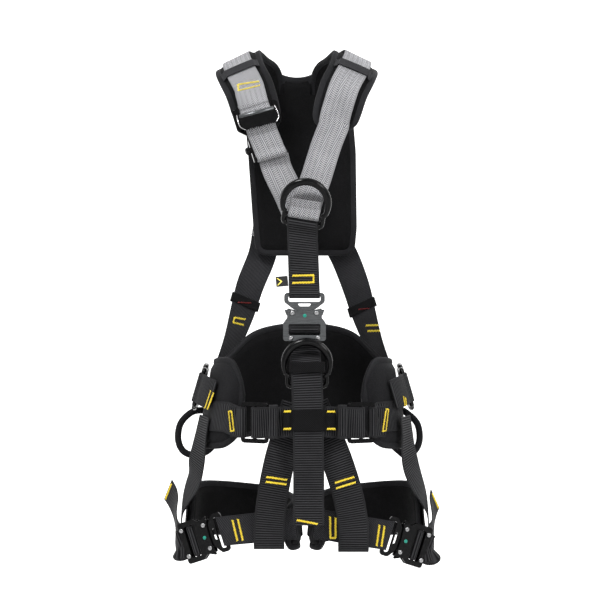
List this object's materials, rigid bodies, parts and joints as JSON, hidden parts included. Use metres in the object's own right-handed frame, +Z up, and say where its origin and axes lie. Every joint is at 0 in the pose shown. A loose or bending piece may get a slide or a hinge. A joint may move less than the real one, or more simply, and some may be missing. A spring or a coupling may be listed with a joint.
{
  "type": "full body safety harness",
  "caption": "Full-body fall-arrest and work-positioning harness with padded yoke, belt and leg loops, attachment rings, quick-release buckles and gear loops.",
  "frame": {"origin": "on the inner face of the back pad, the face that rests on the wearer's back, in line with the harness's middle", "axes": "+Z up, -Y towards the harness's front, +X towards the wearer's left"},
  "size_m": [0.4255, 0.3029, 0.7812],
  "materials": {
    "padding": "matte foam-backed cloth",
    "grey_webbing": "woven polyester, satin",
    "black_webbing": "woven polyester, matte",
    "plastic": "moulded, matte",
    "label": "woven tag",
    "steel": "grey plated, satin",
    "dark_steel": "black coated, glossy",
    "tube": "smooth sheath"
  },
  "bodies": {
    "harness": {"back_pad": "padding", "belly_loop": "black_webbing", "belly_strap": "black_webbing", "belt_buckle_l": "dark_steel", "belt_buckle_r": "dark_steel", "belt_front": "black_webbing", "belt_pad": "padding", "belt_roll_l": "black_webbing", "belt_roll_r": "black_webbing", "belt_webbing": "black_webbing", "centre_back": "steel", "centre_front": "steel", "centre_tongue": "steel", "chest_label": "label", "chest_strap": "black_webbing", "chest_strap_r": "grey_webbing", "dorsal_loop": "black_webbing", "dorsal_plate": "plastic", "gear_loop_l": "tube", "gear_loop_r": "tube", "leg_back_l": "black_webbing", "leg_back_r": "black_webbing", "leg_front_l": "black_webbing", "leg_front_r": "black_webbing", "leg_l_back": "dark_steel", "leg_l_front": "dark_steel", "leg_l_tongue": "dark_steel", "leg_pad_l": "padding", "leg_pad_r": "padding", "leg_r_back": "dark_steel", "leg_r_front": "dark_steel", "leg_r_tongue": "dark_steel", "leg_strap_l": "black_webbing", "leg_strap_r": "black_webbing", "shoulder_adjuster": "dark_steel", "shoulder_loop": "grey_webbing", "shoulder_pad_l": "padding", "shoulder_pad_r": "padding", "shoulder_strap_l": "grey_webbing", "shoulder_strap_r": "grey_webbing", "side_loop_l": "black_webbing", "side_loop_r": "black_webbing", "side_strap_l": "black_webbing", "side_strap_r": "black_webbing", "strap_pin": "dark_steel", "yoke_strap_l": "black_webbing", "yoke_strap_r": "black_webbing"},
    "chest_ring": {"chest_ring": "dark_steel"},
    "belly_ring": {"belly_ring": "dark_steel"},
    "dorsal_ring": {"dorsal_ring": "dark_steel"},
    "side_ring_r": {"side_ring_r": "dark_steel"},
    "side_ring_l": {"side_ring_l": "dark_steel"},
    "centre_pawl_a": {"centre_pawl_a": "steel"},
    "centre_pawl_b": {"centre_pawl_b": "steel"},
    "leg_r_pawl_a": {"leg_r_pawl_a": "dark_steel"},
    "leg_r_pawl_b": {"leg_r_pawl_b": "dark_steel"},
    "leg_l_pawl_a": {"leg_l_pawl_a": "dark_steel"},
    "leg_l_pawl_b": {"leg_l_pawl_b": "dark_steel"}
  },
  "joints": [
    {"name": "chest_ring_tip", "type": "hinge", "parent": "harness", "child": "chest_ring", "pos_m": [0.00521, -0.2385, -0.05141], "axis": [0.9878, 0, -0.156], "range_deg": [0, 15]},
    {"name": "belly_ring_tip", "type": "hinge", "parent": "harness", "child": "belly_ring", "pos_m": [0.01, -0.246, -0.2985], "axis": [1, 0, 0], "range_deg": [0, 20]},
    {"name": "dorsal_ring_swing", "type": "hinge", "parent": "harness", "child": "dorsal_ring", "pos_m": [-0.005, 0.02675, 0.048], "axis": [-1, 0, 0], "range_deg": [0, 110]},
    {"name": "side_ring_r_swing", "type": "hinge", "parent": "harness", "child": "side_ring_r", "pos_m": [-0.1525, -0.12, -0.3065], "axis": [0.28, 0, 0.96], "range_deg": [0, 110]},
    {"name": "side_ring_l_swing", "type": "hinge", "parent": "harness", "child": "side_ring_l", "pos_m": [0.1615, -0.12, -0.3065], "axis": [0.28, 0, -0.96], "range_deg": [0, 110]},
    {"name": "centre_pawl_a_press", "type": "hinge", "parent": "harness", "child": "centre_pawl_a", "pos_m": [-0.011, -0.235, -0.1929], "axis": [0, 1, 0], "range_deg": [0, 22], "stiffness_Nm_per_rad": 0.02, "springref_deg": -20.05},
    {"name": "centre_pawl_b_press", "type": "hinge", "parent": "harness", "child": "centre_pawl_b", "pos_m": [0.024, -0.235, -0.1929], "axis": [0, -1, 0], "range_deg": [0, 22], "stiffness_Nm_per_rad": 0.02, "springref_deg": -20.05},
    {"name": "leg_r_pawl_a_press", "type": "hinge", "parent": "harness", "child": "leg_r_pawl_a", "pos_m": [-0.1413, -0.18371, -0.50676], "axis": [0.342, 0.9397, 0], "range_deg": [0, 22], "stiffness_Nm_per_rad": 0.02, "springref_deg": -20.05},
    {"name": "leg_r_pawl_b_press", "type": "hinge", "parent": "harness", "child": "leg_r_pawl_b", "pos_m": [-0.1306, -0.18761, -0.53985], "axis": [-0.342, -0.9397, 0], "range_deg": [0, 22], "stiffness_Nm_per_rad": 0.02, "springref_deg": -20.05},
    {"name": "leg_l_pawl_a_press", "type": "hinge", "parent": "harness", "child": "leg_l_pawl_a", "pos_m": [0.1456, -0.18761, -0.54585], "axis": [-0.342, 0.9397, 0], "range_deg": [0, 22], "stiffness_Nm_per_rad": 0.02, "springref_deg": -20.05},
    {"name": "leg_l_pawl_b_press", "type": "hinge", "parent": "harness", "child": "leg_l_pawl_b", "pos_m": [0.1563, -0.18371, -0.51276], "axis": [0.342, -0.9397, 0], "range_deg": [0, 22], "stiffness_Nm_per_rad": 0.02, "springref_deg": -20.05}
  ]
}
